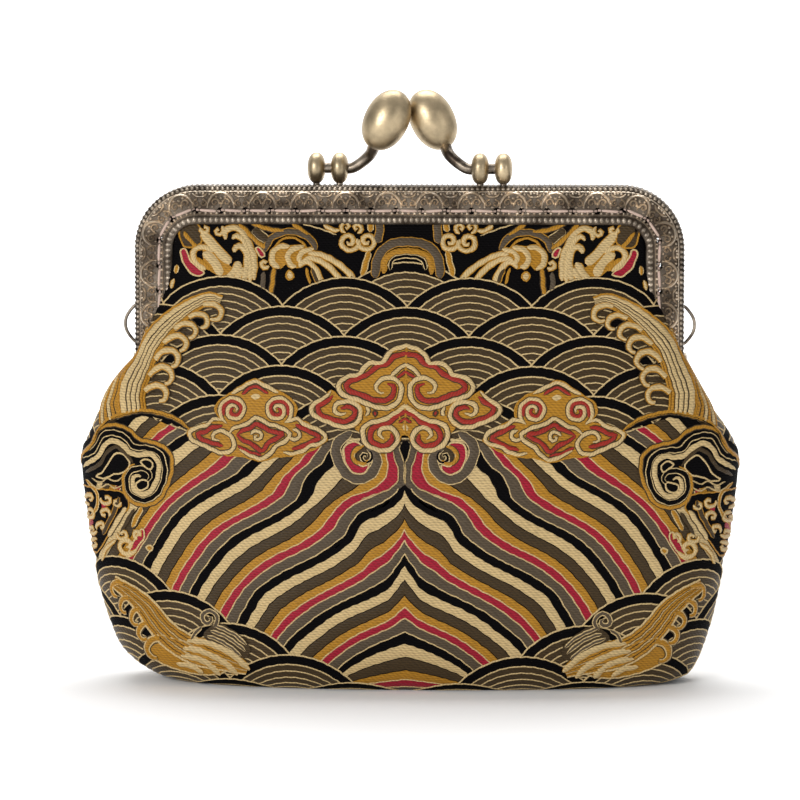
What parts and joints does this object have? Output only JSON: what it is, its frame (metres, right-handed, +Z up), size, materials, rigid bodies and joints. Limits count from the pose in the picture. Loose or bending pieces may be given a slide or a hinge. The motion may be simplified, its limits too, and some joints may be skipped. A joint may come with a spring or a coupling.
{
  "type": "chinese brocade kiss-lock coin purse",
  "caption": "Boxed soft brocade purse sewn into a hinged metal frame with a two-knob snap clasp.",
  "frame": {"origin": "centre of the footprint, on the surface that the purse stands on", "axes": "+Z up towards the clasp, +X to the wearer's right along the frame's width seen from the front, front faces -Y"},
  "size_m": [0.144, 0.048, 0.1298],
  "materials": {
    "brocade": "woven black, gold, cream and red silk brocade with raised figures",
    "frame_metal": "embossed antique brass, grey in the hollows",
    "knob_metal": "brushed antique brass, satin",
    "wire_metal": "dull antique wire"
  },
  "bodies": {
    "root": {"front_panel": "brocade", "back_panel": "brocade", "frame_front": "frame_metal", "frame_back": "frame_metal", "clasp_arm_right": "knob_metal", "clasp_arm_left": "knob_metal", "hinge_rivet_left": "frame_metal", "chain_loop_left": "wire_metal", "hinge_rivet_right": "frame_metal", "chain_loop_right": "wire_metal"}
  },
  "joints": []
}
